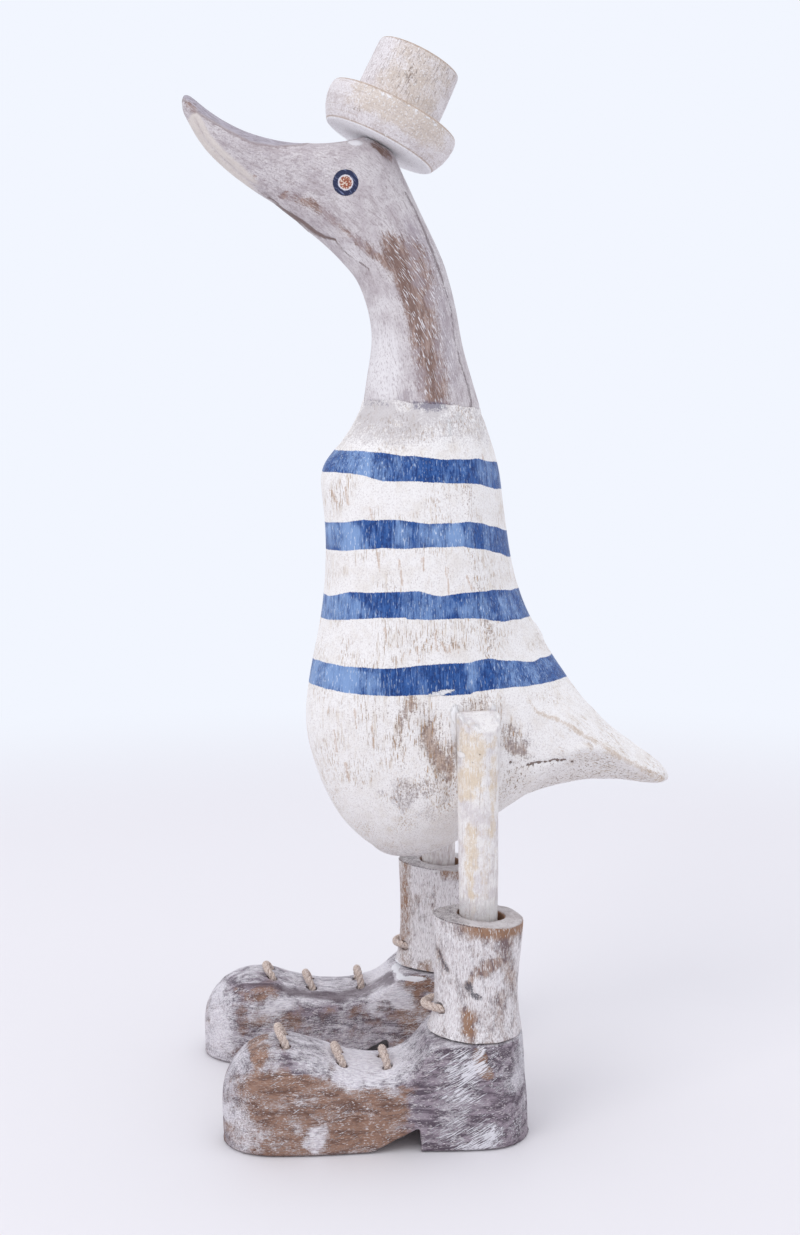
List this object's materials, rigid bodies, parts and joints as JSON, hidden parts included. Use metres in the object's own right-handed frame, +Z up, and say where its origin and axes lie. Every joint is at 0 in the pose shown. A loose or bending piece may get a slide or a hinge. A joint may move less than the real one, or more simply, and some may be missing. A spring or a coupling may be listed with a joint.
{
  "type": "carved wooden duck",
  "caption": "Upright carved wooden duck with raised bill, turned brimmed hat, stick legs let into the flanks and chunky laced boots, whitewashed, with painted blue bands.",
  "frame": {"origin": "on the ground, half-way between the tip of the bill and the tip of the tail, in the middle plane of the body", "axes": "-Y the way the duck looks, +X its left side, +Z up"},
  "size_m": [0.1229, 0.1852, 0.3979],
  "materials": {
    "body_wash": "cream whitewash over pale wood, rubbed through to tan grain, with satin blue painted bands",
    "head_wash": "grey-white lime wash with brown and mauve streaks along the grain, painted eye",
    "hat_wash": "cream whitewash over turned wood, tan where it is thin",
    "leg_wash": "thin cream wash over straight tan grain",
    "boot_foot": "brown stain, dry-brushed with white, satin",
    "boot_shaft": "brown stain under a heavy white dry-brushing, matt",
    "twine": "natural twisted jute twine"
  },
  "bodies": {
    "root": {"body": "body_wash", "head": "head_wash", "hat": "hat_wash", "leg_left": "leg_wash", "leg_right": "leg_wash", "boot_left_foot": "boot_foot", "boot_left_shaft": "boot_shaft", "boot_right_foot": "boot_foot", "boot_right_shaft": "boot_shaft", "lace_left_1": "twine", "lace_left_2": "twine", "lace_left_3": "twine", "lace_left_4": "twine", "lace_right_1": "twine", "lace_right_2": "twine", "lace_right_3": "twine", "lace_right_4": "twine"}
  },
  "joints": []
}
